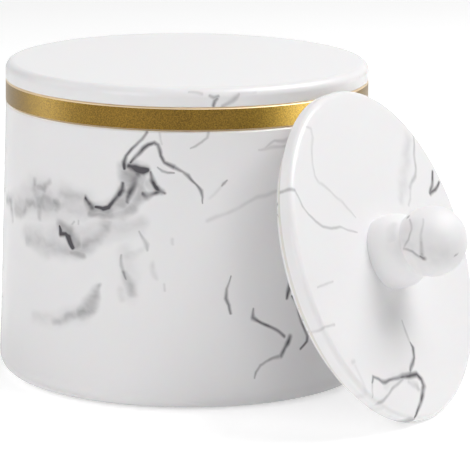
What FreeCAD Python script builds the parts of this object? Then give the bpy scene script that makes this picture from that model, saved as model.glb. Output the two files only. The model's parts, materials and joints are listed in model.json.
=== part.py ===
"""Round marbled resin jar for cotton swabs, with a flat lid and a second lid with a ball knob.

Millimetres, +Z up. The origin is the centre of the jar's foot, on the surface it stands on.
The flat lid sits on the jar. The knob lid stands on the same surface and leans on the gold band.
"""

import FreeCAD, Part
import Sketcher
import math
import os

doc = FreeCAD.newDocument("swab_jar")

# Driving dimensions, in millimetres and degrees
SIZES = [
    ("band_radius", 50.0, "outside of the jar at the gold band, and of the flat lid"),
    ("base_radius", 52.0, "outside of the jar at the foot of its drafted wall"),
    ("rim_height", 82.5, "surface under the jar to the top of its rim"),
    ("mouth_radius", 42.5, "inside of the jar at the rim"),
    ("floor_radius", 41.8, "inside of the jar at the floor, before its corner round"),
    ("floor_height", 7.5, "surface under the jar to its inside floor"),
    ("base_corner", 5.0, "round of the outside corner at the foot"),
    ("floor_corner", 8.0, "round of the inside corner at the floor"),
    ("mouth_round", 0.8, "round of the rim's inside edge"),
    ("wall_break", 0.4, "bevel of the wall's edge under the gold band"),
    ("band_height", 6.5, "gold band, from its ledge to the rim"),
    ("band_thickness", 1.2, "gold band, across its wall"),
    ("band_bevel", 0.5, "bevel of the gold band's two outside edges"),
    ("glue_gap", 0.05, "room for the glue behind the gold band"),
    ("pad_radius", 45.0, "non-slip pad under the foot"),
    ("pad_thickness", 2.0, "non-slip pad, from face to face"),
    ("pad_proud", 0.6, "how far the pad stands below the foot"),
    ("pad_gap", 0.3, "room round the pad in its recess"),
    ("pad_round", 0.4, "round of the pad's lower edge"),
    ("foot_land", 0.3, "least flat of the foot between the pad's recess and the outside corner"),
    ("flat_lid_thickness", 5.0, "flat lid's disc"),
    ("flat_lid_round", 2.4, "round of the flat lid's top edge"),
    ("flat_lid_flange", 6.0, "depth of the flat lid's flange"),
    ("lid_edge_break", 0.4, "round of the small edges under both lids"),
    ("flange_gap", 0.8, "room between a lid's flange and the mouth"),
    ("flange_wall", 5.0, "flange, across its wall"),
    ("groove_depth", 1.2, "seal groove, into the flange"),
    ("groove_width", 1.6, "seal groove, along the flange"),
    ("groove_drop", 0.7, "seal groove, below the underside of the disc"),
    ("lip_gap", 0.1, "room between a seal's lip and the mouth"),
    ("lip_width", 0.5, "flat of a seal's lip"),
    ("knob_lid_radius", 45.0, "knob lid's disc"),
    ("knob_lid_thickness", 4.0, "knob lid's disc"),
    ("knob_lid_round", 1.6, "round of the knob lid's front edge"),
    ("knob_lid_flange", 3.2, "depth of the knob lid's flange"),
    ("ball_radius", 9.4, "knob's ball"),
    ("ball_height", 14.2, "knob lid's front face to the ball's centre"),
    ("collar_radius", 10.0, "knob's round collar"),
    ("collar_height", 3.0, "knob lid's front face to the collar's centre"),
    ("crease_round", 0.5, "round in the crease between collar and ball"),
    ("insert_radius", 3.1, "brass insert in the knob"),
    ("insert_waist", 2.7, "brass insert at its two waists"),
    ("waist_margin", 1.5, "plain end of the insert before a waist"),
    ("waist_width", 2.2, "waist of the insert, along it"),
    ("insert_length", 9.0, "brass insert, from the knob's foot inwards"),
    ("thread_gap", 0.05, "room between the screw and the insert"),
    ("screw_radius", 2.0, "knob screw's shank"),
    ("screw_length", 12.0, "knob screw, from the head's face to the tip"),
    ("screw_hole_gap", 0.25, "room round the shank in the lid"),
    ("head_radius", 3.8, "knob screw's countersunk head"),
    ("head_height", 2.1, "knob screw's countersunk head"),
    ("head_sink", 0.1, "how far the head's face lies inside the lid's underside"),
    ("drive_length", 4.2, "cross recess in the screw's head, from end to end"),
    ("drive_width", 0.9, "cross recess in the screw's head, across a slot"),
    ("drive_depth", 1.2, "cross recess in the screw's head"),
    ("lean_tilt", 20.4, "knob lid, from upright, in degrees"),
    ("lean_azimuth", -29.2, "way the knob lid faces, from +X towards +Y, in degrees"),
    ("lean_contact", 16.1, "where its flange nears the band, from the flange's top, in degrees"),
    ("lean_gap", 0.3, "room between the leaning flange and the jar"),
]

# Values worked out from them
DERIVED = [
    ("band_ledge", "dims.rim_height - dims.band_height"),
    ("rebate_radius", "dims.band_radius - dims.band_thickness - dims.glue_gap"),
    ("recess_height", "dims.pad_thickness"),
    ("recess_radius", "dims.pad_radius + dims.pad_gap"),
    ("foot_round", "min(dims.base_corner; dims.base_radius - fits.recess_radius - dims.foot_land)"),
    ("flange_radius", "dims.mouth_radius - dims.flange_gap"),
    ("groove_radius", "fits.flange_radius - dims.groove_depth"),
    ("lip_radius", "dims.mouth_radius - dims.lip_gap"),
    ("groove_foot", "dims.groove_drop + dims.groove_width"),
    ("groove_middle", "dims.groove_drop + dims.groove_width / 2"),
    ("bore_radius", "dims.screw_radius + dims.thread_gap"),
    ("hole_radius", "dims.screw_radius + dims.screw_hole_gap"),
    ("crease_height", "(dims.ball_height + dims.collar_height + (dims.collar_radius ^ 2"
                      " - dims.ball_radius ^ 2) / (dims.ball_height - dims.collar_height)) / 2"),
    ("crease_radius", "sqrt(dims.collar_radius ^ 2 - (fits.crease_height - dims.collar_height) ^ 2)"),
    ("foot_radius", "sqrt(dims.collar_radius ^ 2 - dims.collar_height ^ 2)"),
    # The knob lid leans on the jar with its flange's lower edge, and stands on the lower back
    # edge of its disc. These give the centre of its seat face from those two contacts.
    ("tilt_sine", "sin(dims.lean_tilt * 1 deg)"),
    ("tilt_cosine", "cos(dims.lean_tilt * 1 deg)"),
    ("contact_up", "cos(dims.lean_contact * 1 deg)"),
    ("contact_aside", "sin(dims.lean_contact * 1 deg)"),
    ("contact_slope", "fits.tilt_sine * fits.contact_aside / fits.contact_up"),
    ("contact_radius", "fits.flange_radius - dims.lid_edge_break"),
    ("lean_height", "(dims.knob_lid_radius - dims.lid_edge_break) * fits.tilt_cosine"
                    " - dims.lid_edge_break * fits.tilt_sine + dims.lid_edge_break"),
    ("contact_height", "fits.lean_height - dims.knob_lid_flange * fits.tilt_sine"
                       " + fits.contact_radius * fits.contact_up * fits.tilt_cosine"),
    ("draft", "(dims.base_radius - dims.band_radius) / (fits.band_ledge - dims.pad_proud)"),
    ("contact_drop", "fits.contact_height < fits.band_ledge"
                     " ? fits.band_ledge - fits.contact_height : 0"),
    ("contact_wall", "dims.band_radius + fits.draft * fits.contact_drop"),
    ("contact_reach", "(fits.contact_wall + dims.lean_gap) / sqrt(1 + fits.contact_slope ^ 2)"),
    ("lean_out", "fits.contact_reach + fits.contact_radius * fits.tilt_sine * fits.contact_up"
                 " + dims.knob_lid_flange * fits.tilt_cosine"),
    ("lean_aside", "-fits.contact_radius * fits.contact_aside"
                   " - fits.contact_reach * fits.contact_slope"),
    ("azimuth_sine", "sin(dims.lean_azimuth * 1 deg)"),
    ("azimuth_cosine", "cos(dims.lean_azimuth * 1 deg)"),
    ("lean_x", "fits.lean_out * fits.azimuth_cosine - fits.lean_aside * fits.azimuth_sine"),
    ("lean_y", "fits.lean_out * fits.azimuth_sine + fits.lean_aside * fits.azimuth_cosine"),
]

START, END, CENTRE = 1, 2, 3
ORIGIN = -1
SAME_PLACE = 1e-4
LEAST_CUT = 0.01

dims = doc.addObject("Spreadsheet::Sheet", "dims")
for row, (alias, value, note) in enumerate(SIZES, start=1):
    dims.set(f"A{row}", alias)
    dims.set(f"B{row}", str(value))
    dims.set(f"C{row}", note)
    dims.setAlias(f"B{row}", alias)
doc.recompute()

fits = doc.addObject("Spreadsheet::Sheet", "fits")
for row, (alias, formula) in enumerate(DERIVED, start=1):
    fits.set(f"A{row}", alias)
    fits.set(f"B{row}", "=" + formula)
    fits.setAlias(f"B{row}", alias)
    doc.recompute()


def size(name):
    """A value of either sheet, as a number."""
    sheet, alias = name.split(".")
    return float(doc.getObject(sheet).get(alias))


def amount(expression):
    """The number that an expression of sheet values comes to: a sum of signed names and numbers."""
    total = 0.0
    for term in expression.replace("- ", "-").replace("+ ", "+").split():
        sign = -1.0 if term.startswith("-") else 1.0
        term = term.lstrip("+-")
        total += sign * (size(term) if "." in term and not term[0].isdigit() else float(term))
    return total


def add_body(label, placement=None):
    """A sub-part as a body of its own, placed where the expression says."""
    body = doc.addObject("PartDesign::Body", label)
    body.Label = label
    if placement:
        body.setExpression("Placement", placement)
    return body


def add_sketch(body, name, role="XZ_Plane"):
    """An empty sketch on one of the body's own origin planes."""
    plane = [item for item in body.Origin.OriginFeatures if item.Role == role][0]
    sketch = body.newObject("Sketcher::SketchObject", name)
    sketch.AttachmentSupport = (plane, "")
    sketch.MapMode = "FlatFace"
    return sketch


def pin_point(sketch, edge, point, across, up):
    """Hold one point of a sketch edge at two expressions from the sketch's origin."""
    for kind, expression in (("DistanceX", across), ("DistanceY", up)):
        index = sketch.addConstraint(
            Sketcher.Constraint(kind, ORIGIN, START, edge, point, amount(expression)))
        sketch.setExpression(f"Constraints[{index}]", expression)


def join_edges(sketch, count):
    """Close an outline of so many edges, each one's end on the next one's start."""
    for index in range(count):
        sketch.addConstraint(Sketcher.Constraint("Coincident", index, END, (index + 1) % count, START))


def add_outline(body, name, corners):
    """A closed outline of straight edges through the corners, each a pair of expressions."""
    sketch = add_sketch(body, name)
    points = [FreeCAD.Vector(amount(across), amount(up), 0) for across, up in corners]
    for index, point in enumerate(points):
        sketch.addGeometry(Part.LineSegment(point, points[(index + 1) % len(points)]), False)
    join_edges(sketch, len(points))
    for index, (across, up) in enumerate(corners):
        pin_point(sketch, index, START, across, up)
    return sketch


def check_cut(body, before, name):
    """Stop where a cut points away from its solid, which shows no error of its own."""
    doc.recompute()
    if body.Shape.Volume > before - LEAST_CUT:
        raise RuntimeError(f"{name} cuts nothing")


def turn(body, sketch, name, kind="PartDesign::Revolution"):
    """Spin an outline round the body's own Z axis, as a turned solid or a turned cut."""
    cutting = kind.endswith("Groove")
    before = body.Shape.Volume if cutting else 0.0
    feature = body.newObject(kind, name)
    feature.Profile = sketch
    feature.ReferenceAxis = (sketch, ["V_Axis"])
    feature.Angle = 360
    doc.recompute()
    if cutting:
        check_cut(body, before, name)
    return feature


def round_edges(body, name, spots, radius, kind="PartDesign::Fillet"):
    """Round or bevel the circular edges that lie at the given radius and height."""
    base = body.Tip
    names = []
    for across, up in spots:
        found = [f"Edge{index}" for index, edge in enumerate(base.Shape.Edges, start=1)
                 if not edge.Degenerated and isinstance(edge.Curve, Part.Circle)
                 and abs(edge.Curve.Radius - amount(across)) < SAME_PLACE
                 and abs(edge.Curve.Center.z - amount(up)) < SAME_PLACE]
        if len(found) != 1:
            raise RuntimeError(f"{name}: {len(found)} edges at {across}, {up}")
        names += found
    feature = body.newObject(kind, name)
    feature.Base = (base, names)
    feature.setExpression("Size" if kind.endswith("Chamfer") else "Radius", radius)
    doc.recompute()
    return feature


# Jar body: cast marbled resin, turned outline with a drafted outside wall, a ledge at the rim
# that the gold band sits on, a hollow with its own slight draft, and a recess for the pad
jar_body = add_body("jar_body")
outline = add_outline(jar_body, "jar_outline", [
    ("0", "fits.recess_height"),
    ("fits.recess_radius", "fits.recess_height"),
    ("fits.recess_radius", "dims.pad_proud"),
    ("dims.base_radius", "dims.pad_proud"),
    ("dims.band_radius", "fits.band_ledge"),
    ("fits.rebate_radius", "fits.band_ledge"),
    ("fits.rebate_radius", "dims.rim_height"),
    ("dims.mouth_radius", "dims.rim_height"),
    ("dims.floor_radius", "dims.floor_height"),
    ("0", "dims.floor_height"),
])
turn(jar_body, outline, "jar_wall")
round_edges(jar_body, "foot_corner", [("dims.base_radius", "dims.pad_proud")], "fits.foot_round")
round_edges(jar_body, "inside_corner", [("dims.floor_radius", "dims.floor_height")],
            "dims.floor_corner")
round_edges(jar_body, "mouth_edge", [("dims.mouth_radius", "dims.rim_height")], "dims.mouth_round")
round_edges(jar_body, "wall_edge", [("dims.band_radius", "fits.band_ledge")], "dims.wall_break",
            "PartDesign::Chamfer")

# Gold band: a plain ring on the jar's ledge, bevelled on its two outside edges
trim_band = add_body("trim_band")
outline = add_outline(trim_band, "band_outline", [
    ("dims.band_radius - dims.band_thickness", "fits.band_ledge"),
    ("dims.band_radius", "fits.band_ledge"),
    ("dims.band_radius", "dims.rim_height"),
    ("dims.band_radius - dims.band_thickness", "dims.rim_height"),
])
turn(trim_band, outline, "band_ring")
round_edges(trim_band, "band_bevels", [
    ("dims.band_radius", "fits.band_ledge"),
    ("dims.band_radius", "dims.rim_height"),
], "dims.band_bevel", "PartDesign::Chamfer")

# Non-slip pad: a disc in the recess under the foot, and the lowest face of the jar
base_pad = add_body("base_pad")
outline = add_outline(base_pad, "pad_outline", [
    ("0", "0"),
    ("dims.pad_radius", "0"),
    ("dims.pad_radius", "dims.pad_thickness"),
    ("0", "dims.pad_thickness"),
])
turn(base_pad, outline, "pad_disc")
round_edges(base_pad, "pad_edge", [("dims.pad_radius", "0")], "dims.pad_round")

# Both lids share one frame: the origin is the centre of the face that sits on the rim, +Z is
# outwards, and the flange hangs below. The flat lid is on the jar, and the knob lid leans.
ON_THE_RIM = "placement(vector(0; 0; dims.rim_height); rotation(0; 0; 0))"
LEANING = ("placement(vector(fits.lean_x; fits.lean_y; fits.lean_height);"
           " rotation(dims.lean_azimuth; 90 - dims.lean_tilt; 0))")


def add_lid(label, placement, radius, thickness, flange, front_round):
    """A cast disc with a ring flange underneath, and a groove round the flange for its seal."""
    body = add_body(label, placement)
    turn(body, add_outline(body, label + "_outline", [
        ("0", "0"),
        ("fits.flange_radius - dims.flange_wall", "0"),
        ("fits.flange_radius - dims.flange_wall", "-" + flange),
        ("fits.flange_radius", "-" + flange),
        ("fits.flange_radius", "0"),
        (radius, "0"),
        (radius, thickness),
        ("0", thickness),
    ]), label + "_disc")
    turn(body, add_outline(body, label + "_groove_outline", [
        ("fits.groove_radius", "-fits.groove_foot"),
        ("dims.mouth_radius", "-fits.groove_foot"),
        ("dims.mouth_radius", "-dims.groove_drop"),
        ("fits.groove_radius", "-dims.groove_drop"),
    ]), label + "_groove", "PartDesign::Groove")
    round_edges(body, label + "_front_edge", [(radius, thickness)], front_round)
    round_edges(body, label + "_back_edge", [(radius, "0")], "dims.lid_edge_break")
    round_edges(body, label + "_flange_edges", [
        ("fits.flange_radius", "-" + flange),
        ("fits.flange_radius - dims.flange_wall", "-" + flange),
    ], "dims.lid_edge_break", "PartDesign::Chamfer")
    return body


def add_seal(label, placement):
    """A silicone ring that fills the flange's groove and reaches out to the mouth as a lip."""
    body = add_body(label, placement)
    turn(body, add_outline(body, label + "_outline", [
        ("fits.groove_radius", "-fits.groove_foot"),
        ("fits.flange_radius", "-fits.groove_foot"),
        ("fits.lip_radius", "-fits.groove_middle - dims.lip_width"),
        ("fits.lip_radius", "-fits.groove_middle + dims.lip_width"),
        ("fits.flange_radius", "-dims.groove_drop"),
        ("fits.groove_radius", "-dims.groove_drop"),
    ]), label + "_ring")
    return body


add_lid("flat_lid", ON_THE_RIM, "dims.band_radius", "dims.flat_lid_thickness",
        "dims.flat_lid_flange", "dims.flat_lid_round")
add_seal("flat_lid_seal", ON_THE_RIM)
knob_lid = add_lid("knob_lid", LEANING, "dims.knob_lid_radius", "dims.knob_lid_thickness",
                   "dims.knob_lid_flange", "dims.knob_lid_round")
add_seal("knob_lid_seal", LEANING)

# Knob lid only: a countersunk hole through its middle for the knob's screw
outline = add_outline(knob_lid, "screw_hole_outline", [
    ("0", "0"),
    ("dims.head_radius", "0"),
    ("dims.head_radius", "dims.head_sink"),
    ("fits.hole_radius", "dims.head_sink + dims.head_height"),
    ("fits.hole_radius", "dims.knob_lid_thickness"),
    ("0", "dims.knob_lid_thickness"),
])
turn(knob_lid, outline, "screw_hole", "PartDesign::Groove")


# Knob: a ball on a round collar, cast in one piece and turned from two arcs that meet in a
# crease. Its flat foot stands on the lid's front face.
knob = add_body("knob", LEANING)
sketch = add_sketch(knob, "knob_outline")


def face_point(across, up):
    """A point of the knob's outline: out from its axis, and up from the lid's front face."""
    return FreeCAD.Vector(amount(across), amount("dims.knob_lid_thickness + " + up), 0)


def lobe(height, radius, start, end):
    """An arc about a point of the axis, from one outline point up to the next."""
    centre = face_point("0", height)
    circle = Part.Circle(centre, FreeCAD.Vector(0, 0, 1), size(radius))
    angles = [math.atan2(point.y - centre.y, point.x) for point in (start, end)]
    return Part.ArcOfCircle(circle, *angles)


axis_foot = face_point("0", "0")
foot_edge = face_point("fits.foot_radius", "0")
crease = face_point("fits.crease_radius", "fits.crease_height")
top = face_point("0", "dims.ball_height + dims.ball_radius")
FOOT, COLLAR, BALL, AXIS = range(4)
sketch.addGeometry([
    Part.LineSegment(axis_foot, foot_edge),
    lobe("dims.collar_height", "dims.collar_radius", foot_edge, crease),
    lobe("dims.ball_height", "dims.ball_radius", crease, top),
    Part.LineSegment(top, axis_foot),
], False)
join_edges(sketch, 4)
pin_point(sketch, FOOT, START, "0", "dims.knob_lid_thickness")
sketch.addConstraint(Sketcher.Constraint("Horizontal", FOOT))
for edge, height, radius in ((COLLAR, "dims.collar_height", "dims.collar_radius"),
                             (BALL, "dims.ball_height", "dims.ball_radius")):
    pin_point(sketch, edge, CENTRE, "0", "dims.knob_lid_thickness + " + height)
    index = sketch.addConstraint(Sketcher.Constraint("Radius", edge, size(radius)))
    sketch.setExpression(f"Constraints[{index}]", radius)
sketch.addConstraint(Sketcher.Constraint("Vertical", AXIS))
turn(knob, sketch, "knob_turned")
round_edges(knob, "knob_crease", [
    ("fits.crease_radius", "dims.knob_lid_thickness + fits.crease_height"),
], "dims.crease_round")
outline = add_outline(knob, "insert_seat_outline", [
    ("0", "dims.knob_lid_thickness"),
    ("dims.insert_radius", "dims.knob_lid_thickness"),
    ("dims.insert_radius", "dims.knob_lid_thickness + dims.insert_length"),
    ("0", "dims.knob_lid_thickness + dims.insert_length"),
])
turn(knob, outline, "insert_seat", "PartDesign::Groove")

# Brass insert: a turned bush with two waists that the resin grips, cast in flush with the foot
knob_insert = add_body("knob_insert", LEANING)
outline = add_outline(knob_insert, "insert_outline", [
    ("fits.bore_radius", "dims.knob_lid_thickness"),
    ("dims.insert_radius", "dims.knob_lid_thickness"),
    ("dims.insert_radius", "dims.knob_lid_thickness + dims.insert_length"),
    ("fits.bore_radius", "dims.knob_lid_thickness + dims.insert_length"),
])
turn(knob_insert, outline, "insert_bush")
outline = add_outline(knob_insert, "waist_outline", [
    ("dims.insert_waist", "dims.knob_lid_thickness + dims.waist_margin"),
    ("dims.insert_radius", "dims.knob_lid_thickness + dims.waist_margin"),
    ("dims.insert_radius", "dims.knob_lid_thickness + dims.waist_margin + dims.waist_width"),
    ("dims.insert_waist", "dims.knob_lid_thickness + dims.waist_margin + dims.waist_width"),
])
waist = turn(knob_insert, outline, "insert_waist", "PartDesign::Groove")
waists = knob_insert.newObject("PartDesign::LinearPattern", "insert_waists")
waists.Originals = [waist]
waists.Direction = (outline, ["V_Axis"])
waists.Occurrences = 2
waists.setExpression("Length", "dims.insert_length - 2 * dims.waist_margin - dims.waist_width")
knob_insert.Tip = waists

# Knob screw: countersunk head in the lid's underside, shank up into the insert
knob_screw = add_body("knob_screw", LEANING)
outline = add_outline(knob_screw, "screw_outline", [
    ("0", "dims.head_sink"),
    ("dims.head_radius", "dims.head_sink"),
    ("dims.screw_radius", "dims.head_sink + dims.head_height"),
    ("dims.screw_radius", "dims.screw_length"),
    ("0", "dims.screw_length"),
])
turn(knob_screw, outline, "screw_turned")

# The cross recess that a driver turns it by: one slot across the head, repeated a quarter turn on
sketch = add_sketch(knob_screw, "drive_slot_outline", "XY_Plane")
sketch.setExpression("AttachmentOffset.Base.z", "dims.head_sink")
half_length = size("dims.drive_length") / 2
half_width = size("dims.drive_width") / 2
corners = [FreeCAD.Vector(x * half_length, y * half_width, 0)
           for x, y in ((-1, -1), (1, -1), (1, 1), (-1, 1))]
sketch.addGeometry([Part.LineSegment(corner, corners[(index + 1) % 4])
                    for index, corner in enumerate(corners)], False)
join_edges(sketch, 4)
BOTTOM, RIGHT, TOP, LEFT = range(4)
for level, edges in (("Horizontal", (BOTTOM, TOP)), ("Vertical", (RIGHT, LEFT))):
    for edge in edges:
        sketch.addConstraint(Sketcher.Constraint(level, edge))
sketch.addConstraint(Sketcher.Constraint("Symmetric", BOTTOM, START, TOP, START, ORIGIN, START))
for kind, edge, name in (("DistanceX", BOTTOM, "dims.drive_length"),
                         ("DistanceY", RIGHT, "dims.drive_width")):
    index = sketch.addConstraint(Sketcher.Constraint(kind, edge, START, edge, END, size(name)))
    sketch.setExpression(f"Constraints[{index}]", name)
doc.recompute()
whole = knob_screw.Shape.Volume
slot = knob_screw.newObject("PartDesign::Pocket", "drive_slot")
slot.Profile = sketch
slot.Reversed = True
slot.setExpression("Length", "dims.drive_depth")
check_cut(knob_screw, whole, "drive_slot")
whole = knob_screw.Shape.Volume
cross = knob_screw.newObject("PartDesign::PolarPattern", "drive_cross")
cross.Originals = [slot]
cross.Axis = (sketch, ["N_Axis"])
cross.Angle = 90
cross.Occurrences = 2
knob_screw.Tip = cross
check_cut(knob_screw, whole, "drive_cross")

# Every object is checked before anything is written, and each sub-part then gets its own file
for item in doc.Objects:
    if any(flag in ("Invalid", "Error") for flag in item.State):
        raise RuntimeError(f"{item.Name} failed: {item.State}")
bodies = [item for item in doc.Objects if item.TypeId == "PartDesign::Body"]
for body in bodies:
    if body.Shape.isNull() or not body.Shape.isValid() or len(body.Shape.Solids) != 1:
        raise RuntimeError(f"{body.Label} is not one valid solid")
os.makedirs("parts", exist_ok=True)
for body in bodies:
    body.Shape.exportStep(os.path.join("parts", body.Label + ".step"))
    box = body.Shape.optimalBoundingBox(True, False)
    print(f"{body.Label}: {body.Shape.Volume:.0f} mm3, z {box.ZMin:.2f} to {box.ZMax:.2f}")
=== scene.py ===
"""Round marbled resin jar for cotton swabs: a gold ring at its mouth, a flat lid on it, and a
second lid with a ball knob that leans on it. Metres, +Z up, origin at the centre of the foot."""

import bpy
import bmesh
import json
import math
from mathutils import Matrix, Vector


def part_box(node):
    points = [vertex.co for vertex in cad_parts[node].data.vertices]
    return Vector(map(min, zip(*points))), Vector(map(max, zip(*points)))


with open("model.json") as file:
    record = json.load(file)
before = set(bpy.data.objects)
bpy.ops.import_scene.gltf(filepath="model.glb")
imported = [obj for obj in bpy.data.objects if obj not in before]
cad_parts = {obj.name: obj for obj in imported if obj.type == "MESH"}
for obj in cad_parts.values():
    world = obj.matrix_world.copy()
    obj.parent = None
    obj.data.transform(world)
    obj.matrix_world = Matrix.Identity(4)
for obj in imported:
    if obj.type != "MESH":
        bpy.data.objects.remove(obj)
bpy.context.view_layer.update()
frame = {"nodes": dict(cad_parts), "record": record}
scene = bpy.context.scene
MM = 0.001

# Camera: a long lens, a metre in front of the jar and a little above it. Its place, turn and
# zoom were read from the outline of the jar in the photograph.
camera_place = Vector((9.9, -1000.0, 246.4)) * MM
camera_down = math.radians(11.77)
camera_right = math.radians(0.21)
camera_roll = math.radians(0.49)
lens_mm = 281.1
sensor_mm = 36.0
lens = bpy.data.cameras.new("long_lens")
lens.lens = lens_mm
lens.sensor_width = sensor_mm
camera = bpy.data.objects.new("camera", lens)
aim = (Matrix.Rotation(-camera_right, 4, "Z") @ Matrix.Rotation(math.pi / 2 - camera_down, 4, "X")
       @ Matrix.Rotation(camera_roll, 4, "Z"))
camera.matrix_world = Matrix.Translation(camera_place) @ aim
scene.collection.objects.link(camera)
scene.camera = camera

# Jar body: white casting resin with grey ink stirred in, cast in a polished mould and rubbed to
# a satin finish. The ink lies in thin dark threads with paler smoke pulled out beside them.
resin_white = "F3F2F3"
ink_dark = "3A363E"
resin_roughness = 0.27
resin_ior = 1.52
resin_glow = 0.1
glow_depth = 1.5 * MM
wall_radius_mm = 50.0
thread_spread = 1.35
smoke_spread = 1.2
stir_mm = 5.0
thread_sway_mm = 1.6
smoke_sway_mm = 3.0
fade_mm = 4.0
fade_from = 0.35
fade_full = 0.6
faded_ink = 0.72
veil_across_mm = 5.0
veil_up_mm = 3.333
veil_from = 0.34
veil_full = 0.64
thin_veil = 0.65
thick_veil = 1.1
stray_mm = 36.0
stray_level = 0.5
stray_patch_mm = 22.0
patch_from = 0.48
patch_full = 0.62
stray_line = 0.007
stray_line_ink = 0.6
stray_smoke = 0.06
stray_smoke_ink = 0.2


def linear(code):
    """An sRGB hex colour as linear red, green, blue and alpha."""
    parts = [int(code[start:start + 2], 16) / 255 for start in (0, 2, 4)]
    return [part / 12.92 if part <= 0.04045 else ((part + 0.055) / 1.055) ** 2.4 for part in parts] + [1.0]


def add_node(tree, kind, settings=None, **inputs):
    """One node with its settings, and with each input set to a value or joined to a socket."""
    node = tree.nodes.new(kind)
    for name, value in (settings or {}).items():
        setattr(node, name, value)
    for name, value in inputs.items():
        key = int(name[2:]) if name.startswith("in") and name[2:].isdigit() else name.replace("_", " ")
        socket = node.inputs[key]
        if isinstance(value, bpy.types.NodeSocket):
            tree.links.new(value, socket)
        else:
            socket.default_value = value
    return node


def new_material(name):
    """An empty node material with its surface shader, joined to its output."""
    material = bpy.data.materials.new(name)
    material.use_nodes = True
    tree = material.node_tree
    tree.nodes.clear()
    shader = add_node(tree, "ShaderNodeBsdfPrincipled")
    add_node(tree, "ShaderNodeOutputMaterial", Surface=shader.outputs[0])
    return material, tree, shader


def make_ink_thread():
    """A node group that adds one straight stretch of ink: dark on its line, clear at its width."""
    group = bpy.data.node_groups.new("ink_thread", "ShaderNodeTree")
    for name in ("Ink", "Across", "Up", "From Across", "From Up", "To Across", "To Up", "Width",
                 "End Width", "Strength"):
        group.interface.new_socket(name, in_out="INPUT", socket_type="NodeSocketFloat")
    group.interface.new_socket("Ink", in_out="OUTPUT", socket_type="NodeSocketFloat")
    given = add_node(group, "NodeGroupInput").outputs
    back, away = [], []
    for way in ("Across", "Up"):
        back.append(add_node(group, "ShaderNodeMath", {"operation": "SUBTRACT"},
                             in0=given["From " + way], in1=given["To " + way]).outputs[0])
        away.append(add_node(group, "ShaderNodeMath", {"operation": "SUBTRACT"},
                             in0=given["From " + way], in1=given[way]).outputs[0])
    whole = add_node(group, "ShaderNodeMath", {"operation": "MULTIPLY"},
                     in0=back[0], in1=back[0]).outputs[0]
    whole = add_node(group, "ShaderNodeMath", {"operation": "MULTIPLY_ADD"},
                     in0=back[1], in1=back[1], in2=whole).outputs[0]
    reach = add_node(group, "ShaderNodeMath", {"operation": "MULTIPLY"},
                     in0=away[0], in1=back[0]).outputs[0]
    reach = add_node(group, "ShaderNodeMath", {"operation": "MULTIPLY_ADD"},
                     in0=away[1], in1=back[1], in2=reach).outputs[0]
    share = add_node(group, "ShaderNodeMath", {"operation": "DIVIDE"}, in0=reach, in1=whole).outputs[0]
    share = add_node(group, "ShaderNodeMath", {"operation": "MAXIMUM"}, in0=share, in1=0.0).outputs[0]
    share = add_node(group, "ShaderNodeMath", {"operation": "MINIMUM"}, in0=share, in1=1.0).outputs[0]
    square = 0.0
    for side in (0, 1):
        foot = add_node(group, "ShaderNodeMath", {"operation": "MULTIPLY"},
                        in0=share, in1=back[side]).outputs[0]
        miss = add_node(group, "ShaderNodeMath", {"operation": "SUBTRACT"},
                        in0=away[side], in1=foot).outputs[0]
        square = add_node(group, "ShaderNodeMath", {"operation": "MULTIPLY_ADD"},
                          in0=miss, in1=miss, in2=square).outputs[0]
    gap = add_node(group, "ShaderNodeMath", {"operation": "SQRT"}, in0=square).outputs[0]
    taper = add_node(group, "ShaderNodeMath", {"operation": "SUBTRACT"},
                     in0=given["End Width"], in1=given["Width"]).outputs[0]
    width = add_node(group, "ShaderNodeMath", {"operation": "MULTIPLY_ADD"},
                     in0=share, in1=taper, in2=given["Width"]).outputs[0]
    cover = add_node(group, "ShaderNodeMapRange", {"interpolation_type": "SMOOTHSTEP"}, Value=gap,
                     From_Min=0.0, From_Max=width, To_Min=given["Strength"], To_Max=0.0).outputs[0]
    most = add_node(group, "ShaderNodeMath", {"operation": "MAXIMUM"},
                    in0=given["Ink"], in1=cover).outputs[0]
    add_node(group, "NodeGroupOutput", Ink=most)
    return group


ink_thread = make_ink_thread()


def lay_threads(tree, spot, threads, spread):
    """All threads of one list at one place. Each has a strength and points: across, up, half width.
    Their soft edges reach 'spread' times as far."""
    part = add_node(tree, "ShaderNodeSeparateXYZ", None, Vector=spot).outputs
    ink = 0.0
    for strength, points in threads:
        for start, end in zip(points, points[1:]):
            ink = add_node(tree, "ShaderNodeGroup", {"node_tree": ink_thread}, Ink=ink,
                           Across=part[0], Up=part[1], From_Across=start[0], From_Up=start[1],
                           To_Across=end[0], To_Up=end[1], Width=start[2] * spread,
                           End_Width=end[2] * spread, Strength=strength).outputs[0]
    return ink


def stirred(tree, spot, grain, sway, fine=0.0):
    """A place in millimetres, pushed about by a soft noise, so that straight stretches wander."""
    noise = add_node(tree, "ShaderNodeTexNoise", None, Vector=spot, Scale=1 / grain,
                     Detail=fine).outputs["Color"]
    push = add_node(tree, "ShaderNodeVectorMath", {"operation": "MULTIPLY_ADD"}, in0=noise,
                    in1=(sway, sway, 0.0), in2=(-sway / 2, -sway / 2, 0.0)).outputs[0]
    return add_node(tree, "ShaderNodeVectorMath", {"operation": "ADD"}, in0=spot, in1=push).outputs[0]


def own_place(tree, centre=(0, 0, 0), turn=(0, 0, 0)):
    """The place on the piece in millimetres, from its own centre and along its own axes."""
    point = add_node(tree, "ShaderNodeTexCoord").outputs["Object"]
    return add_node(tree, "ShaderNodeMapping", {"vector_type": "TEXTURE"}, Vector=point,
                    Location=centre, Rotation=turn, Scale=(MM, MM, MM)).outputs[0]


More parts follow.
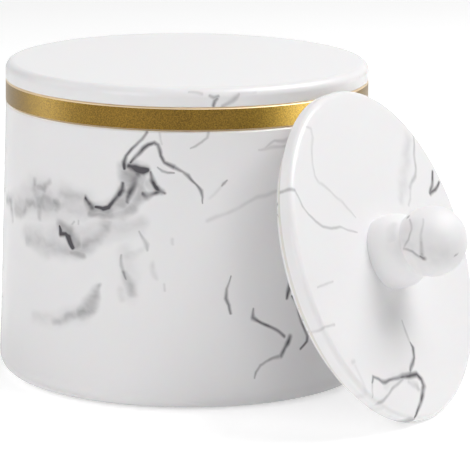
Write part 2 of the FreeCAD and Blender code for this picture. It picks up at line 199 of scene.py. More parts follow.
def unrolled(tree, spot, radius):
    """A round wall laid flat: millimetres round from its front, up its axis, and out of it."""
    part = add_node(tree, "ShaderNodeSeparateXYZ", None, Vector=spot).outputs
    front = add_node(tree, "ShaderNodeMath", {"operation": "MULTIPLY"}, in0=part[1], in1=-1.0).outputs[0]
    angle = add_node(tree, "ShaderNodeMath", {"operation": "ARCTAN2"}, in0=part[0], in1=front).outputs[0]
    around = add_node(tree, "ShaderNodeMath", {"operation": "MULTIPLY"}, in0=angle, in1=radius).outputs[0]
    flat = add_node(tree, "ShaderNodeCombineXYZ", None, X=part[0], Y=part[1]).outputs[0]
    out = add_node(tree, "ShaderNodeVectorMath", {"operation": "LENGTH"}, in0=flat).outputs["Value"]
    out = add_node(tree, "ShaderNodeMath", {"operation": "SUBTRACT"}, in0=out, in1=radius).outputs[0]
    return add_node(tree, "ShaderNodeCombineXYZ", None, X=around, Y=part[2], Z=out).outputs[0]


def strays(tree, spot):
    """Veins for the sides that the photograph doesn't show: the line between two noise levels."""
    level = add_node(tree, "ShaderNodeTexNoise", None, Vector=spot, Scale=1 / stray_mm, Detail=5.0,
                     Roughness=0.55, Distortion=1.2).outputs["Fac"]
    level = add_node(tree, "ShaderNodeMath", {"operation": "SUBTRACT"}, in0=level,
                     in1=stray_level).outputs[0]
    level = add_node(tree, "ShaderNodeMath", {"operation": "ABSOLUTE"}, in0=level).outputs[0]
    thin = add_node(tree, "ShaderNodeMapRange", {"interpolation_type": "SMOOTHSTEP"}, Value=level,
                    From_Min=0.0, From_Max=stray_line, To_Min=stray_line_ink, To_Max=0.0).outputs[0]
    wide = add_node(tree, "ShaderNodeMapRange", {"interpolation_type": "SMOOTHSTEP"}, Value=level,
                    From_Min=0.0, From_Max=stray_smoke, To_Min=stray_smoke_ink, To_Max=0.0).outputs[0]
    both = add_node(tree, "ShaderNodeMath", {"operation": "ADD"}, in0=thin, in1=wide).outputs[0]
    patch = add_node(tree, "ShaderNodeTexNoise", None, Vector=spot, Scale=1 / stray_patch_mm,
                     Detail=2.0).outputs["Fac"]
    patch = add_node(tree, "ShaderNodeMapRange", None, Value=patch, From_Min=patch_from,
                     From_Max=patch_full).outputs[0]
    return add_node(tree, "ShaderNodeMath", {"operation": "MULTIPLY"}, in0=both, in1=patch).outputs[0]


def marble(tree, spot, threads, smoke, solid, hidden):
    """How much ink lies at a place. Its threads fade in and out, a veil of thin and thick patches
    lies over its layers of smoke, and there are strays where 'hidden' is one."""
    lines = lay_threads(tree, stirred(tree, spot, stir_mm, thread_sway_mm), threads, thread_spread)
    fade = add_node(tree, "ShaderNodeTexNoise", None, Vector=spot, Scale=1 / fade_mm,
                    Detail=1.0).outputs["Fac"]
    fade = add_node(tree, "ShaderNodeMapRange", None, Value=fade, From_Min=fade_from,
                    From_Max=fade_full, To_Min=faded_ink, To_Max=1.0).outputs[0]
    ink = add_node(tree, "ShaderNodeMath", {"operation": "MULTIPLY"}, in0=lines, in1=fade).outputs[0]
    place = stirred(tree, spot, stir_mm, smoke_sway_mm, 1.0)
    veil = add_node(tree, "ShaderNodeMapping", None, Vector=place,
                    Scale=(1 / veil_across_mm, 1 / veil_up_mm, 1 / veil_across_mm)).outputs[0]
    veil = add_node(tree, "ShaderNodeTexNoise", None, Vector=veil, Scale=1.0, Detail=2.0).outputs["Fac"]
    veil = add_node(tree, "ShaderNodeMapRange", None, Value=veil, From_Min=veil_from,
                    From_Max=veil_full, To_Min=thin_veil, To_Max=thick_veil).outputs[0]
    for layer in smoke:
        clouds = lay_threads(tree, place, layer, smoke_spread)
        ink = add_node(tree, "ShaderNodeMath", {"operation": "MULTIPLY_ADD"},
                       in0=clouds, in1=veil, in2=ink).outputs[0]
    return add_node(tree, "ShaderNodeMath", {"operation": "MULTIPLY_ADD", "use_clamp": True},
                    in0=strays(tree, solid), in1=hidden, in2=ink).outputs[0]


def finish_resin(tree, shader, ink):
    """Satin casting resin: white with its ink, a soft even gloss, and light that sinks in a little."""
    colour = add_node(tree, "ShaderNodeMix", {"data_type": "RGBA"}, in0=ink,
                      in6=linear(resin_white), in7=linear(ink_dark)).outputs[2]
    tree.links.new(colour, shader.inputs["Base Color"])
    shader.inputs["Roughness"].default_value = resin_roughness
    shader.inputs["IOR"].default_value = resin_ior
    shader.inputs["Subsurface Weight"].default_value = resin_glow
    shader.inputs["Subsurface Scale"].default_value = glow_depth


def wear(node, material):
    """Puts one material on a piece of the frame."""
    slots = frame["nodes"][node].data.materials
    slots.clear()
    slots.append(material)


jar_threads = [
    (0.95, [(-14.3, 67.2, 0.4), (-13, 69, 0.7), (-11.2, 71.2, 0.85), (-9.8, 72.4, 0.8), (-8.3, 73, 0.7),
            (-7.2, 72.4, 0.65), (-6.7, 71, 0.6), (-6.2, 69.2, 0.5), (-5, 67.7, 0.5), (-2.8, 66.6, 0.75)]),
    (0.8, [(-2.8, 66.6, 0.7), (-0.5, 65.5, 0.4), (1, 64.3, 0.65), (2.8, 62.2, 0.4), (4.2, 60.3, 0.65),
           (4.9, 58.5, 0.4), (5, 57, 0.25)]),
    (0.9, [(-10, 75.8, 0.45), (-11.5, 73.8, 0.55), (-12.8, 72.6, 0.55), (-14.3, 71, 0.6), (-15.6, 69, 0.65),
           (-16, 67.5, 0.75), (-15.9, 65.8, 0.4)]),
    (0.95, [(-16.7, 61.5, 0.6), (-17, 60, 1.2), (-18, 58.4, 1.2), (-19.3, 56.2, 0.8), (-20.6, 54.8, 0.7),
            (-22.6, 54.2, 0.7), (-24.5, 54.6, 0.4)]),
    (0.85, [(-8.8, 64.8, 0.5), (-8.4, 63.2, 1.0), (-7.4, 61.8, 0.8), (-6, 60.4, 1.0), (-5.3, 60, 0.5)]),
    (0.8, [(-6.2, 60.3, 0.7), (-8, 59.6, 0.7), (-10, 58.8, 1.2), (-11.2, 59.2, 0.6)]),
    (0.6, [(-6.8, 66.4, 0.3), (-5.8, 65.5, 0.55), (-4.5, 65.1, 0.45), (-2.8, 65.1, 0.3)]),
    (0.4, [(6, 75.8, 0.4), (5.7, 74.3, 0.4), (4.5, 73, 0.4), (3, 72.1, 0.4), (1.4, 71.6, 0.25)]),
    (0.2, [(-6.8, 75.4, 0.5), (-6.1, 72.6, 0.4)]),
    (0.6, [(10, 61.6, 0.4), (10.4, 62.2, 0.6), (11, 62.9, 0.35)]),
    (0.12, [(9.8, 61.4, 0.6), (6.8, 58.2, 0.5)]),
    (0.16, [(6, 51.7, 0.7), (8, 53, 0.8), (11, 54.2, 0.6), (14.5, 55.4, 0.5), (19, 57.6, 0.7),
            (23.5, 59, 0.6), (28, 60, 0.4)]),
    (0.22, [(20, 71, 0.4), (23.5, 71.2, 0.6), (28.5, 71.3, 0.5)]),
    (0.25, [(22, 71.3, 0.4), (25, 72.8, 0.5), (28, 72.7, 0.8), (31, 73.6, 0.5)]),
    (0.75, [(12.3, 37.2, 0.3), (11.2, 34, 0.5), (11, 31.6, 0.75), (12, 29.8, 0.55), (12.4, 27.2, 0.35)]),
    (0.9, [(18.6, 27.8, 0.4), (18.4, 25.8, 0.9), (20, 24.7, 0.5), (23, 22.5, 0.5), (27, 19.6, 0.6)]),
    (0.95, [(28.9, 19.2, 0.9), (28, 17.4, 1.1), (27.2, 16.2, 0.8), (26.2, 14.2, 0.7)]),
    (0.6, [(26, 14.1, 0.6), (24, 13.7, 0.5), (21.5, 13.1, 0.45), (20, 12.4, 0.5), (19, 10.5, 0.45),
           (18.7, 9, 0.3)]),
    (0.9, [(29.4, 35, 0.4), (29.1, 32, 0.9), (28.5, 29.7, 0.5)]),
    (0.85, [(30, 30, 0.4), (32, 25, 0.6), (33.5, 21.5, 0.6), (34.6, 18.5, 0.7), (34.3, 16.8, 0.6),
            (32.8, 15.4, 0.4)]),
    (0.45, [(-16.8, 42.2, 0.4), (-16.6, 39.8, 0.8), (-15.8, 37.6, 0.6), (-15.2, 36, 0.4)]),
    (0.35, [(-12, 49, 0.3), (-10.8, 46.6, 0.6), (-10, 45, 0.8), (-9.7, 43.6, 0.4)]),
    (0.2, [(-5, 35.2, 0.5), (-4.8, 33.4, 0.5)]),
    (0.22, [(-2.9, 47.3, 0.6), (-2.9, 46.2, 0.5)]),
    (0.95, [(-36.3, 47.4, 0.4), (-35.7, 45.6, 0.9), (-34, 46, 0.6), (-32.6, 45.2, 1.0), (-31.4, 43.2, 0.7)]),
    (0.3, [(-31.6, 49, 0.5), (-31, 49.8, 0.5)]),
    (0.25, [(-29.6, 50.6, 0.4), (-29.5, 49.5, 0.4)]),
    (0.8, [(-14.8, 66.4, 0.8), (-13, 65.2, 1.5), (-11.2, 65, 1.3), (-9.6, 65.3, 0.7)]),
    (0.55, [(-12.8, 64.8, 1.6), (-13.6, 61.8, 1.4), (-14.3, 59.4, 1.0), (-15, 56.6, 0.6)]),
    (0.35, [(-27.4, 56.6, 0.5), (-26.2, 55.6, 0.7), (-25.4, 54.4, 0.8)]),
]
jar_smoke = [
    (0.6, [(-14.8, 66.2, 2.2), (-12.6, 65, 3.0), (-10.2, 65.2, 2.0)]),
    (0.55, [(-15.4, 66, 2.6), (-14.8, 62, 3.2), (-15.4, 58.4, 3.4), (-17.4, 55.8, 3.2), (-21, 54, 2.6),
            (-25, 54, 2.0), (-27.4, 56.4, 1.2)]),
    (0.42, [(-11.4, 63, 2.2), (-12, 59, 2.2), (-13.4, 55.4, 2.0), (-17, 53.2, 1.8), (-22, 52.2, 1.7),
            (-25.6, 53.2, 1.3)]),
    (0.4, [(-9.8, 62, 2.0), (-7.2, 61, 1.8)]),
    (0.3, [(-21.5, 50, 2.2), (-22.8, 47.5, 2.2), (-24.5, 45, 2.2), (-28, 43.6, 2.0)]),
    (0.2, [(-50.5, 41.6, 1.6), (-46, 42.4, 2.6), (-40, 41.2, 3.0), (-35, 41.4, 3.0), (-30, 41.8, 2.6),
           (-26.5, 43, 2.2), (-23.5, 45.4, 2.0)]),
    (0.42, [(-31.4, 41.8, 1.6), (-28.4, 41, 1.4)]),
    (0.4, [(-35.5, 47.6, 2.2), (-32.5, 46.6, 2.6), (-30.4, 44, 2.4)]),
    (0.3, [(-66, 50, 1.8), (-62, 49.8, 2.0), (-60.4, 47.4, 2.0), (-59.6, 45.4, 1.3)]),
    (0.24, [(-57.5, 48.8, 2.0), (-52.6, 49, 2.0), (-50.4, 51.2, 2.2), (-47, 52.4, 2.2), (-43.5, 53.4, 2.6),
            (-38, 53, 2.2)]),
    (0.28, [(-46.4, 59, 1.3), (-46.4, 56, 1.8), (-44.4, 52, 2.2), (-44.4, 49.5, 1.4)]),
    (0.28, [(-45, 57, 1.5), (-42.8, 57, 1.7), (-40.2, 60, 1.3)]),
    (0.3, [(-37.8, 54.4, 1.6), (-37.2, 52.2, 1.5)]),
    (0.14, [(-36, 57, 1.8), (-32.4, 56.8, 2.0), (-29, 56.4, 1.6)]),
    (0.3, [(-15.6, 37.5, 1.2), (-14, 34.6, 2.2), (-13.2, 31.8, 1.6)]),
    (0.16, [(-8.2, 40, 1.4), (-7.8, 37, 1.2)]),
    (0.16, [(-16.8, 32.5, 1.6), (-16.4, 30, 1.4)]),
    (0.14, [(-15, 42, 1.4), (-11.5, 43.6, 1.4)]),
    (0.5, [(-22.9, 34, 0.9), (-24, 30.5, 1.8), (-26, 27.4, 3.0), (-28.6, 25.4, 2.2)]),
    (0.26, [(-28.6, 25.4, 2.0), (-33, 23, 1.6), (-38, 21.4, 1.2)]),
]
jar_haze = [
    (0.26, [(-66, 50, 3.0), (-55, 51.2, 5.0), (-46, 54.5, 7.5), (-37, 54, 7.5), (-28, 54.5, 5.0)]),
    (0.2, [(-50, 43.5, 4.0), (-41, 43.8, 6.0), (-30, 45, 6.0), (-21, 49, 4.5), (-12, 50.5, 3.5)]),
    (0.1, [(-16, 44, 3.0), (-14.4, 38, 3.6), (-14, 31, 3.0)]),
    (0.12, [(-46, 21.4, 2.4), (-37, 22.5, 3.2), (-28, 25.4, 3.4)]),
]
# The back isn't in the photograph: it carries the front's ink again, turned upside down. Strays
# lie over the two joints between front and back, and inside the jar.
quarter_mm = wall_radius_mm * math.pi / 2
turned_height_mm = 80.0
joint_mm = 3.0
joint_fade_mm = 13.0
inside_mm = -5.0
outside_mm = -3.0
material, tree, shader = new_material("satin_casting_resin_jar")
solid = own_place(tree)
spot = unrolled(tree, solid, wall_radius_mm)
part = add_node(tree, "ShaderNodeSeparateXYZ", None, Vector=spot).outputs
side = add_node(tree, "ShaderNodeMath", {"operation": "ABSOLUTE"}, in0=part[0]).outputs[0]
behind = add_node(tree, "ShaderNodeMath", {"operation": "GREATER_THAN"},
                  in0=side, in1=quarter_mm).outputs[0]
around = add_node(tree, "ShaderNodeMath", {"operation": "WRAP"}, in0=part[0], in1=quarter_mm,
                  in2=-quarter_mm).outputs[0]
turned = add_node(tree, "ShaderNodeMath", {"operation": "MULTIPLY_ADD"}, in0=part[1], in1=-2.0,
                  in2=turned_height_mm).outputs[0]
height = add_node(tree, "ShaderNodeMath", {"operation": "MULTIPLY_ADD"}, in0=turned, in1=behind,
                  in2=part[1]).outputs[0]
spot = add_node(tree, "ShaderNodeCombineXYZ", None, X=around, Y=height, Z=part[2]).outputs[0]
joint = add_node(tree, "ShaderNodeMath", {"operation": "SUBTRACT"}, in0=side, in1=quarter_mm).outputs[0]
joint = add_node(tree, "ShaderNodeMath", {"operation": "ABSOLUTE"}, in0=joint).outputs[0]
joint = add_node(tree, "ShaderNodeMapRange", {"interpolation_type": "SMOOTHSTEP"}, Value=joint,
                 From_Min=joint_mm, From_Max=joint_fade_mm, To_Min=1.0, To_Max=0.0).outputs[0]
inside = add_node(tree, "ShaderNodeMapRange", {"interpolation_type": "SMOOTHSTEP"}, Value=part[2],
                  From_Min=inside_mm, From_Max=outside_mm, To_Min=1.0, To_Max=0.0).outputs[0]
hidden = add_node(tree, "ShaderNodeMath", {"operation": "MAXIMUM"}, in0=joint, in1=inside).outputs[0]
finish_resin(tree, shader, marble(tree, spot, jar_threads, [jar_smoke, jar_haze], solid, hidden))
wear("jar_body", material)

# Gold ring: thin brass strip, blasted to a fine frost and lacquered gold, glued in the rebate
# at the mouth. The frost breaks the light into small specks. Its two bevels are coloured pale, a painted
# highlight that shows as light lines along its top and bottom edges.
# The frost is drawn coarser than the real one, so that it shows.
gold_light = "7E621F"
gold_dark = "4C370E"
pale_bevel_highlight_gold = "BDA888"
bevel_mm = 0.5
gold_roughness = 0.42
lacquer = 0.25
lacquer_roughness = 0.3
frost_mm = 0.3
speck_from = 0.3
speck_full = 0.7
frost_deep = 0.02 * MM
frost_bump = 0.35
material, tree, shader = new_material("frosted_gold_lacquered_brass")
ring_low, ring_high = (Vector(corner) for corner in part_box("trim_band"))
spot = own_place(tree, (ring_low + ring_high) / 2)
speck = add_node(tree, "ShaderNodeTexNoise", None, Vector=spot, Scale=1 / frost_mm,
                 Detail=2.0, Roughness=0.6).outputs["Fac"]
shade = add_node(tree, "ShaderNodeMapRange", None, Value=speck, From_Min=speck_from,
                 From_Max=speck_full).outputs[0]
colour = add_node(tree, "ShaderNodeMix", {"data_type": "RGBA"}, in0=shade, in6=linear(gold_dark),
                  in7=linear(gold_light)).outputs[2]
height = add_node(tree, "ShaderNodeSeparateXYZ", None, Vector=spot).outputs[2]
height = add_node(tree, "ShaderNodeMath", {"operation": "ABSOLUTE"}, in0=height).outputs[0]
flat_mm = (ring_high.z - ring_low.z) / 2 / MM - bevel_mm
bevel = add_node(tree, "ShaderNodeMath", {"operation": "GREATER_THAN"}, in0=height, in1=flat_mm).outputs[0]
# The bevels take the pale colour: a painted highlight line along each edge of the ring.
colour = add_node(tree, "ShaderNodeMix", {"data_type": "RGBA"}, in0=bevel, in6=colour,
                  in7=linear(pale_bevel_highlight_gold)).outputs[2]
tree.links.new(colour, shader.inputs["Base Color"])
bump = add_node(tree, "ShaderNodeBump", None, Strength=frost_bump, Distance=frost_deep,
                Height=speck).outputs[0]
tree.links.new(bump, shader.inputs["Normal"])
shader.inputs["Metallic"].default_value = 1.0
shader.inputs["Roughness"].default_value = gold_roughness
shader.inputs["Coat Weight"].default_value = lacquer
shader.inputs["Coat Roughness"].default_value = lacquer_roughness
wear("trim_band", material)

# Flat lid: a disc of the same resin that closes the jar, with a ring flange under it. Its top is
# plain, and a few threads come out at its front edge. Strays lie on its back edge and underside.
flat_lid_threads = [
    (0.2, [(1.2, 86.4, 0.3), (4.2, 86.1, 0.5)]),
    (0.55, [(6.4, 86, 0.5), (7.6, 85.5, 0.7), (8.8, 85.8, 0.5)]),
    (0.75, [(8.4, 85.2, 0.5), (7.8, 84.6, 0.6), (7.3, 83.2, 0.5)]),
    (0.35, [(9.8, 83.4, 0.6), (12.2, 84.6, 0.9), (13.2, 85.2, 0.9), (14.4, 85.9, 0.5)]),
    (0.14, [(14.4, 86, 0.5), (17, 86.2, 0.5), (19.3, 86, 0.4)]),
]
top_mm = 87.3
under_top_mm = 86.5
shown_mm = 66.0
unseen_mm = 80.0
material, tree, shader = new_material("satin_casting_resin_flat_lid")
solid = own_place(tree)
spot = unrolled(tree, solid, wall_radius_mm)
part = add_node(tree, "ShaderNodeSeparateXYZ", None, Vector=spot).outputs
side = add_node(tree, "ShaderNodeMath", {"operation": "ABSOLUTE"}, in0=part[0]).outputs[0]
below = add_node(tree, "ShaderNodeMapRange", {"interpolation_type": "SMOOTHSTEP"}, Value=part[1],
                 From_Min=under_top_mm, From_Max=top_mm, To_Min=1.0, To_Max=0.0).outputs[0]
behind = add_node(tree, "ShaderNodeMapRange", {"interpolation_type": "SMOOTHSTEP"}, Value=side,
                  From_Min=unseen_mm, From_Max=shown_mm, To_Min=1.0, To_Max=0.0).outputs[0]
hidden = add_node(tree, "ShaderNodeMath", {"operation": "MULTIPLY"}, in0=below, in1=behind).outputs[0]
finish_resin(tree, shader, marble(tree, spot, flat_lid_threads, [], solid, hidden))
wear("flat_lid", material)

# Knob lid: a thinner disc of the same resin, taken off and leaned here. It stands on the table with
# the edge of its disc, and its flange rests against the gold ring.
lean = Vector(next(joint["axis"] for joint in frame["record"]["behaviour"]["joints"]
                   if joint["name"] == "knob_lid_lift")).normalized()
level_way = Vector((0, 0, 1)).cross(lean).normalized()
up_way = lean.cross(level_way)
lid_turn = Matrix((level_way, up_way, lean)).transposed()
seal_low, seal_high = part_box("knob_lid_seal")
lid_centre = (Vector(seal_low) + Vector(seal_high)) / 2
knob_lid_threads = [
    (0.6, [(-46, 19.1, 0.6), (-44.3, 20.7, 0.9), (-43.2, 22.6, 0.6), (-41.3, 24, 0.7), (-38.5, 24.9, 0.7),
           (-36.6, 24.1, 0.55)]),
    (0.36, [(-36.6, 24.1, 0.55), (-35.9, 22.6, 0.5), (-35.1, 19.8, 0.5), (-33.5, 16.9, 0.5),
            (-31, 14.4, 0.55), (-27.9, 12.6, 0.55), (-24.1, 11.4, 0.5), (-19.8, 10.5, 0.5),
            (-15.4, 9, 0.45), (-11.9, 7.8, 0.25)]),
    (0.2, [(-35, 34.8, 0.5), (-32.3, 36, 0.5), (-27.9, 37.9, 0.5), (-25.4, 38.6, 0.4)]),
    (0.2, [(-21, 38.8, 0.5), (-19.1, 37.9, 0.6), (-19.4, 35.7, 0.6), (-21, 33.5, 0.6), (-23.5, 29.1, 0.6),
           (-24.4, 26, 0.6), (-23.2, 23.5, 0.6), (-19.1, 20.4, 0.6), (-14.8, 16.9, 0.6),
           (-11.6, 14.1, 0.6), (-9.8, 11.9, 0.3)]),
    (0.24, [(-40.4, -1.3, 0.3), (-34.8, -1.9, 0.5), (-31.6, -1.6, 0.4)]),
    (0.24, [(-46, -13.1, 0.6), (-44.1, -11.8, 0.6), (-42.3, -11.4, 0.5), (-37.9, -12.1, 0.5)]),
    (0.2, [(-34.4, -22.8, 0.8), (-33.4, -22.8, 0.8)]),
    (0.1, [(-33.5, -24, 0.8), (-31, -34, 0.8)]),
    (0.3, [(-2.9, -18.4, 0.4), (-2.3, -23.4, 0.7)]),
    (0.85, [(-2.1, -24, 0.4), (-1.6, -25.8, 0.8), (-2.9, -28.1, 0.7), (-4.4, -29.4, 0.8),
            (-6.6, -30.8, 0.7)]),
    (0.7, [(-6.6, -31.4, 0.8), (-12.3, -31.4, 0.7), (-17.9, -31.2, 0.6), (-22.3, -30.4, 0.65),
           (-24.8, -29.3, 0.6), (-26.3, -28.4, 0.7), (-27.9, -29.9, 0.5)]),
    (0.3, [(-27.9, -29.9, 0.5), (-28.8, -32.1, 0.5), (-29.1, -33.7, 0.3)]),
    (0.42, [(-11.6, -32, 0.6), (-16, -33.1, 0.6), (-21, -34, 0.65), (-26.6, -35.3, 0.7)]),
    (0.97, [(-12.5, -31.5, 0.5), (-7.3, -32, 1.1), (-4.1, -32.4, 1.1), (-1.9, -34.3, 1.15),
            (-1.9, -36.5, 1.2), (-4.1, -38.7, 1.1), (-7.9, -41.2, 0.9), (-10.9, -42.9, 0.6)]),
    (0.6, [(-24.8, -39.4, 0.5), (-18.5, -41.7, 0.7), (-13.5, -43, 0.8), (-10.9, -43.6, 0.6)]),
    (0.36, [(34.2, 29, 0.4), (33, 25.4, 0.6), (31.1, 21.6, 0.7), (29.6, 18.5, 0.7), (28.3, 17.1, 0.8),
            (25.5, 15.4, 0.6), (23.3, 14.1, 0.9)]),
    (0.22, [(23.3, 14.1, 0.8), (22.1, 11.6, 0.6), (19.6, 9.8, 0.5)]),
    (0.95, [(38.9, 16.4, 0.6), (36.1, 12.6, 0.9), (33.8, 10.6, 0.9), (36.8, 11.2, 0.8), (40, 12.9, 0.6)]),
]
knob_lid_smoke = [
    (0.15, [(30.5, 27.3, 2.5), (25.5, 21, 3.5), (21.8, 17.3, 3.5), (16.8, 12.3, 2.5)]),
    (0.3, [(-9, -33.6, 1.2), (-5.5, -35.4, 1.5), (-4.8, -37, 1.0)]),
    (0.15, [(-31.6, -35.5, 1.6), (-26, -37.5, 1.4)]),
    (0.1, [(-9, -31.5, 2.0), (-22, -31.5, 1.5)]),
]
underside_mm = -0.5
face_mm = 0.5
material, tree, shader = new_material("satin_casting_resin_knob_lid")
spot = own_place(tree, lid_centre, lid_turn.to_euler())
part = add_node(tree, "ShaderNodeSeparateXYZ", None, Vector=spot).outputs
hidden = add_node(tree, "ShaderNodeMapRange", {"interpolation_type": "SMOOTHSTEP"}, Value=part[2],
                  From_Min=underside_mm, From_Max=face_mm, To_Min=1.0, To_Max=0.0).outputs[0]
finish_resin(tree, shader, marble(tree, spot, knob_lid_threads, [knob_lid_smoke], own_place(tree), hidden))
wear("knob_lid", material)

# Knob: a ball on a round collar, cast in the same resin and screwed on from under the lid. It is
# rubbed a little duller than the lids. Its smoke is partly painted shade: a broad grey patch round the
# corner of its threads darkens the ball's shaded lower side.
seal_to_ball_mm = 19.7
ball_radius_mm = 9.4
knob_roughness = 0.5
knob_threads = [
    (0.5, [(4.4, -2.3, 0.6), (5.2, -2.1, 0.6)]),
    (0.28, [(6.6, -1.4, 0.35), (9.9, -0.7, 0.5), (12.1, -1.7, 0.55), (14.4, -4.4, 0.55)]),
    (0.4, [(14.4, -4.4, 0.4), (15.9, -1.4, 0.5), (17.5, -0.1, 0.6), (18.1, 0.8, 0.9)]),
    (0.8, [(17.6, 0.4, 0.5), (18.3, 0.9, 0.8)]),
    (0.45, [(18.1, 0.8, 0.8), (16.8, 1.1, 0.6)]),
    (0.32, [(17, 1, 0.8), (13.6, 1.9, 0.5)]),
    (0.22, [(15.6, 1.4, 0.6), (10.9, 2.6, 0.5), (7.2, 2.6, 0.3)]),
    (0.4, [(24, 7.3, 0.5), (25, 7.6, 0.4)]),
]
knob_smoke_and_painted_shade = [
    (0.14, [(6, -6.5, 1.6), (11, -6.8, 1.6)]),
    # This broad soft patch is painted shade on the ball's lower side, not ink.
    (0.16, [(12.5, -2.5, 6.5), (16, 0.5, 8.0), (19.5, 2.5, 7.0)]),
]
material, tree, shader = new_material("satin_casting_resin_knob")
ball_centre = lid_centre + lean * seal_to_ball_mm * MM
knob_turn = lid_turn @ Matrix.Rotation(math.pi, 3, "Z")
solid = own_place(tree, ball_centre, knob_turn.to_euler())
spot = unrolled(tree, solid, ball_radius_mm)
finish_resin(tree, shader, marble(tree, spot, knob_threads, [knob_smoke_and_painted_shade], solid, 0.0))
shader.inputs["Roughness"].default_value = knob_roughness
wear("knob", material)

# Seals: moulded translucent silicone rings in the flanges' grooves. They are matt and a little
# milky, with faint clouds.
silicone_light = "E9E8E2"
silicone_dark = "DDDCD5"
silicone_roughness = 0.55
silicone_ior = 1.41
silicone_glow = 0.4
silicone_depth = 1.0 * MM
silicone_cloud_mm = 2.5
material, tree, shader = new_material("moulded_silicone")
cloud = add_node(tree, "ShaderNodeTexNoise", None, Vector=own_place(tree), Scale=1 / silicone_cloud_mm,
                 Detail=3.0).outputs["Fac"]
colour = add_node(tree, "ShaderNodeMix", {"data_type": "RGBA"}, in0=cloud, in6=linear(silicone_dark),
                  in7=linear(silicone_light)).outputs[2]
tree.links.new(colour, shader.inputs["Base Color"])
shader.inputs["Roughness"].default_value = silicone_roughness
shader.inputs["IOR"].default_value = silicone_ior
shader.inputs["Subsurface Weight"].default_value = silicone_glow
shader.inputs["Subsurface Scale"].default_value = silicone_depth
wear("flat_lid_seal", material)
wear("knob_lid_seal", material)

# Foot pad: a die-cut disc of fine closed-cell EVA foam, glued in its recess under the foot. Its cut
# cells make it matt and finely dimpled.
foam_light = "D9D8D4"
foam_dark = "C4C3BF"
foam_roughness = 0.85
foam_cell_mm = 0.5
foam_cell_deep = 0.1 * MM
foam_bump = 0.5
material, tree, shader = new_material("eva_foam")
cells = add_node(tree, "ShaderNodeTexVoronoi", None, Vector=own_place(tree),
                 Scale=1 / foam_cell_mm).outputs["Distance"]
shade = add_node(tree, "ShaderNodeMix", {"data_type": "RGBA"}, in0=cells, in6=linear(foam_light),
                 in7=linear(foam_dark)).outputs[2]
tree.links.new(shade, shader.inputs["Base Color"])
bump = add_node(tree, "ShaderNodeBump", None, Strength=foam_bump, Distance=foam_cell_deep,
                Height=cells).outputs[0]
tree.links.new(bump, shader.inputs["Normal"])
shader.inputs["Roughness"].default_value = foam_roughness
wear("base_pad", material)

# Knob insert: turned brass, cast into the knob's foot. Fine rings from the turning run round it,
# drawn coarser than the real ones, so that they show.
brass_light = "CFAE62"
brass_dark = "B5903F"
brass_roughness = 0.3
turning_mm = 0.2
material, tree, shader = new_material("turned_brass")
part = add_node(tree, "ShaderNodeSeparateXYZ", None,
                Vector=own_place(tree, lid_centre, lid_turn.to_euler())).outputs
rings = add_node(tree, "ShaderNodeTexNoise", {"noise_dimensions": "1D"}, W=part[2],
                 Scale=1 / turning_mm).outputs["Fac"]
colour = add_node(tree, "ShaderNodeMix", {"data_type": "RGBA"}, in0=rings, in6=linear(brass_dark),
                  in7=linear(brass_light)).outputs[2]
tree.links.new(colour, shader.inputs["Base Color"])
shader.inputs["Metallic"].default_value = 1.0
shader.inputs["Roughness"].default_value = brass_roughness
wear("knob_insert", material)

# Knob screw: a countersunk steel screw with a cross recess, driven in from under the lid. Its bright
# zinc plating is faintly blotched.
zinc_light = "C3C4C6"
zinc_dark = "A9AAAE"
zinc_roughness = 0.32
zinc_blotch_mm = 0.8
material, tree, shader = new_material("zinc_plated_steel")
blotch = add_node(tree, "ShaderNodeTexNoise", None, Vector=own_place(tree), Scale=1 / zinc_blotch_mm,
                  Detail=3.0).outputs["Fac"]
colour = add_node(tree, "ShaderNodeMix", {"data_type": "RGBA"}, in0=blotch, in6=linear(zinc_dark),
                  in7=linear(zinc_light)).outputs[2]
tree.links.new(colour, shader.inputs["Base Color"])
shader.inputs["Metallic"].default_value = 1.0
shader.inputs["Roughness"].default_value = zinc_roughness
wear("knob_screw", material)

# Floor: a plain pale table top that runs out of sight. It is lifted to white where the camera or a
# gloss sees it, and keeps the shadows.
floor_reach = 6.0
floor_colour = "F8F8F8"
floor_white = "FFFFFF"
floor_roughness = 0.9
lift_unseen = 0.05
lift_seen = 0.5
floor_mesh = bpy.data.meshes.new("floor")
shape = bmesh.new()
bmesh.ops.create_grid(shape, x_segments=1, y_segments=1, size=floor_reach)
shape.to_mesh(floor_mesh)
shape.free()
floor = bpy.data.objects.new("floor", floor_mesh)
scene.collection.objects.link(floor)
material, tree, shader = new_material("pale_table_top")
shader.inputs["Base Color"].default_value = linear(floor_colour)
shader.inputs["Roughness"].default_value = floor_roughness
path = add_node(tree, "ShaderNodeLightPath").outputs
seen = add_node(tree, "ShaderNodeMath", {"operation": "MAXIMUM"}, in0=path["Is Camera Ray"],
                in1=path["Is Glossy Ray"]).outputs[0]
lift = add_node(tree, "ShaderNodeMapRange", None, Value=seen, To_Min=lift_unseen,
                To_Max=lift_seen).outputs[0]
tree.links.new(lift, shader.inputs["Emission Strength"])
shader.inputs["Emission Color"].default_value = linear(floor_white)
floor.data.materials.append(material)

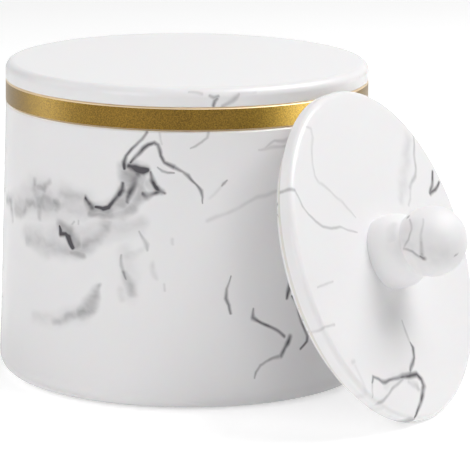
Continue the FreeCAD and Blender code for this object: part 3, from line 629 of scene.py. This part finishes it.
# Studio: a room that the camera, gloss and glass see as white. It gives the part a little light
# from behind and none from in front.
studio_white = "FFFFFF"
studio_front = 0.0
studio_back = 0.12
front_ends = -0.2
back_starts = 0.8
world = bpy.data.worlds.new("white_studio")
scene.world = world
world.use_nodes = True
tree = world.node_tree
tree.nodes.clear()
path = add_node(tree, "ShaderNodeLightPath").outputs
seen = add_node(tree, "ShaderNodeMath", {"operation": "MAXIMUM"}, in0=path["Is Camera Ray"],
                in1=path["Is Glossy Ray"]).outputs[0]
seen = add_node(tree, "ShaderNodeMath", {"operation": "MAXIMUM"}, in0=seen,
                in1=path["Is Transmission Ray"]).outputs[0]
way = add_node(tree, "ShaderNodeSeparateXYZ", None,
               Vector=add_node(tree, "ShaderNodeTexCoord").outputs["Generated"]).outputs
level = add_node(tree, "ShaderNodeMapRange", None, Value=way[1], From_Min=front_ends,
                 From_Max=back_starts, To_Min=studio_front, To_Max=studio_back).outputs[0]
strength = add_node(tree, "ShaderNodeMapRange", None, Value=seen, To_Min=level, To_Max=1.0).outputs[0]
background = add_node(tree, "ShaderNodeBackground", None, Color=linear(studio_white), Strength=strength)
add_node(tree, "ShaderNodeOutputWorld", Surface=background.outputs[0])

# Lights: soft boxes a metre from the part, each with its turn from the front, its rise, its width
# and its watts. Two stand at the left, a weak one in front, and two high ones at the right throw the
# shadows.
strip_white = "E3EFFF"
# The strips light the ring alone, and only the ring can stand in their way: in the photograph its
# shine isn't broken by the leaning lid, which would hide a strip at the right.
ring_only = bpy.data.collections.new("ring_only")
ring_only.objects.link(frame["nodes"]["trim_band"])
middle = Vector((10, -20, 45)) * MM
lamp_distance = 1.0
for name, turn, rise, width, watts in (
        ("left_softbox", -38, 18, 0.6, 3.3),
        ("left_back_softbox", -95, 30, 0.6, 1.7),
        ("front_softbox", 22, 22, 0.5, 0.9),
        ("high_softbox", 70, 60, 0.5, 3.4),
        ("right_softbox", 106, 52, 0.5, 5.0),
        ("left_strip", -95, 8, 0.3, 9.0),
        ("right_strip", 80, 8, 0.3, 29.0),
        ("overhead_strip", 0, 64, 0.4, 1.6),
        ("left_overhead_strip", -80, 60, 0.5, 1.4)):
    lamp = bpy.data.lights.new(name, "AREA")
    lamp.shape = "SQUARE"
    lamp.size = width
    lamp.energy = watts
    light = bpy.data.objects.new(name, lamp)
    turn, rise = math.radians(turn), math.radians(rise)
    way = Vector((math.sin(turn) * math.cos(rise), -math.cos(turn) * math.cos(rise), math.sin(rise)))
    light.location = middle + way * lamp_distance
    light.rotation_euler = (-way).to_track_quat("-Z", "Y").to_euler()
    if name.endswith("strip"):
        lamp.color = linear(strip_white)[:3]
        light.light_linking.receiver_collection = ring_only
        light.light_linking.blocker_collection = ring_only
    scene.collection.objects.link(light)

scene.view_settings.view_transform = "Standard"
